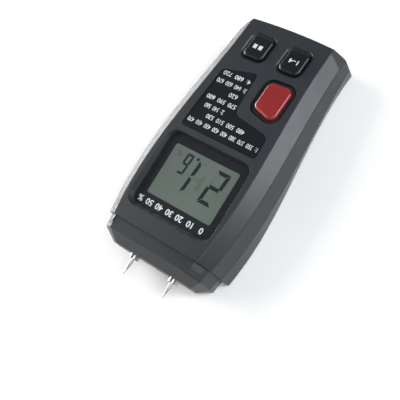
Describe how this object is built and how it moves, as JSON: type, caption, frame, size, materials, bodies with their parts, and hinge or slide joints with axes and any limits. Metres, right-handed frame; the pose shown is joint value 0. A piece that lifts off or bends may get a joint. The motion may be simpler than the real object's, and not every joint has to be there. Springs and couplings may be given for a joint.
{
  "type": "moisture meter",
  "caption": "Handheld two-pin wood moisture meter with a tilted display window, a printed panel, press buttons and a sliding battery door.",
  "frame": {"origin": "on the plane the back rests on, below the middle of the whole length from the handle end to the pin tips", "axes": "+X across the meter, +Y along it towards the pins, +Z out of the display face"},
  "size_m": [0.0638, 0.1298, 0.025],
  "materials": {
    "case_plastic": "fine satin texture",
    "lens_plastic": "clear gloss",
    "mask_print": "printed black border",
    "panel_film": "semi-gloss printed film",
    "lcd_glass": "grey-green reflective display",
    "white_plastic": "plain moulded",
    "silicone_rubber": "soft",
    "black_button": "gloss",
    "red_button": "gloss",
    "switch_plastic": "plain moulded",
    "board_laminate": "solder mask",
    "chip_plastic": "moulded epoxy",
    "plated_steel": "nickel plated",
    "chip_ceramic": "fired",
    "screw_steel": "zinc plated",
    "pin_steel": "polished plating",
    "brass": "turned",
    "cell_jacket": "printed jacket"
  },
  "bodies": {
    "case": {"front_case": "case_plastic", "rear_case": "case_plastic", "display_lens": "lens_plastic", "display_mask": "mask_print", "species_panel": "panel_film", "lcd_glass": "lcd_glass", "backlight_panel": "white_plastic", "lcd_frame": "white_plastic", "contact_strip": "silicone_rubber", "power_collar": "black_button", "switch_bodies": "switch_plastic", "circuit_board": "board_laminate", "microcontroller": "chip_plastic", "sensing_amplifier": "chip_plastic", "crystal_can": "plated_steel", "chip_resistors_and_capacitors": "chip_ceramic", "case_screws": "screw_steel", "board_screws": "screw_steel", "electrode_pins": "pin_steel", "pin_nuts": "pin_steel", "pin_sockets": "brass", "electrode_strips": "brass", "electrode_carrier": "white_plastic", "battery_cells": "cell_jacket", "battery_springs": "plated_steel", "battery_contacts": "plated_steel"},
    "power_button": {"power_button": "red_button", "power_plunger": "switch_plastic"},
    "hold_button": {"hold_button": "black_button", "hold_plunger": "switch_plastic"},
    "mode_button": {"mode_button": "black_button", "mode_plunger": "switch_plastic"},
    "battery_door": {"battery_door": "case_plastic"}
  },
  "joints": [
    {"name": "power_button_press", "type": "slide", "parent": "case", "child": "power_button", "axis": [0, 0, -1], "range_m": [0, 0.0005], "stiffness_N_per_m": 1200, "springref_m": -0.0008},
    {"name": "hold_button_press", "type": "slide", "parent": "case", "child": "hold_button", "axis": [0, 0, -1], "range_m": [0, 0.0005], "stiffness_N_per_m": 1200, "springref_m": -0.0008},
    {"name": "mode_button_press", "type": "slide", "parent": "case", "child": "mode_button", "axis": [0, 0, -1], "range_m": [0, 0.0005], "stiffness_N_per_m": 1200, "springref_m": -0.0008},
    {"name": "battery_door_slide", "type": "slide", "parent": "case", "child": "battery_door", "axis": [0, -1, 0], "range_m": [0, 0.055]}
  ]
}
